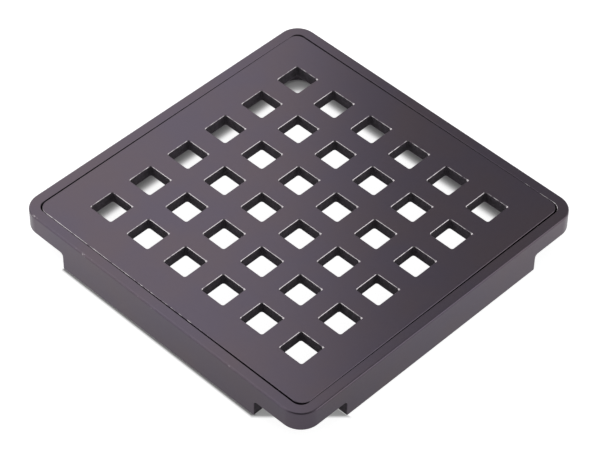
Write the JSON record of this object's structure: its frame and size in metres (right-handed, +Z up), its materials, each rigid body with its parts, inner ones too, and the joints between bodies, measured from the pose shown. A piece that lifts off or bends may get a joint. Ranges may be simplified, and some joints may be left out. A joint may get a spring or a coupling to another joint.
{
  "type": "shower drain cover",
  "caption": "Square shower drain cover: a pierced grate with square holes that drops level into a shallow cast frame with notched skirts.",
  "frame": {"origin": "under the middle of the cover, level with the feet of the four skirts", "axes": "+Z up out of the floor, +X and +Y along the sides of the frame"},
  "size_m": [0.1, 0.1, 0.011],
  "materials": {
    "frame_finish": "dark violet-brown satin coat on cast metal",
    "grate_finish": "dark violet-brown satin coat on cast metal"
  },
  "bodies": {
    "root": {"frame": "frame_finish", "grate": "grate_finish"}
  },
  "joints": []
}
